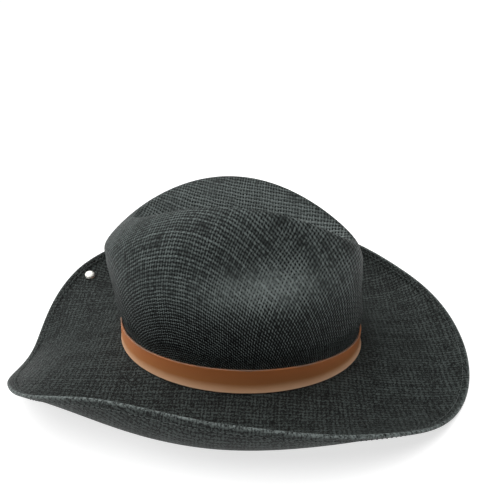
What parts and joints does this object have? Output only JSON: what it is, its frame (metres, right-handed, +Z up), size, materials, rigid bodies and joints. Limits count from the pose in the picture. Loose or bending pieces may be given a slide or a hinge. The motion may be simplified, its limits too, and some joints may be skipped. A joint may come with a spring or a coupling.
{
  "type": "bush hat",
  "caption": "Woven straw bush hat: tall crown with a long dent on top and pinched sides, wide brim rolled up at the sides, flat leather band and a plain domed stud.",
  "frame": {"origin": "on the surface that the hat lies on, under the middle of its outline", "axes": "+Z up, +X towards the front of the hat, +Y towards the hat's left side"},
  "size_m": [0.3698, 0.3154, 0.1406],
  "materials": {
    "woven_straw": "black paper straw in a plain open weave, with a faint sheen",
    "band_leather": "smooth brown leather, satin",
    "stud_metal": "nickel-plated, satin"
  },
  "bodies": {
    "root": {"crown": "woven_straw", "brim": "woven_straw", "hat_band": "band_leather", "brim_stud": "stud_metal"}
  },
  "joints": []
}
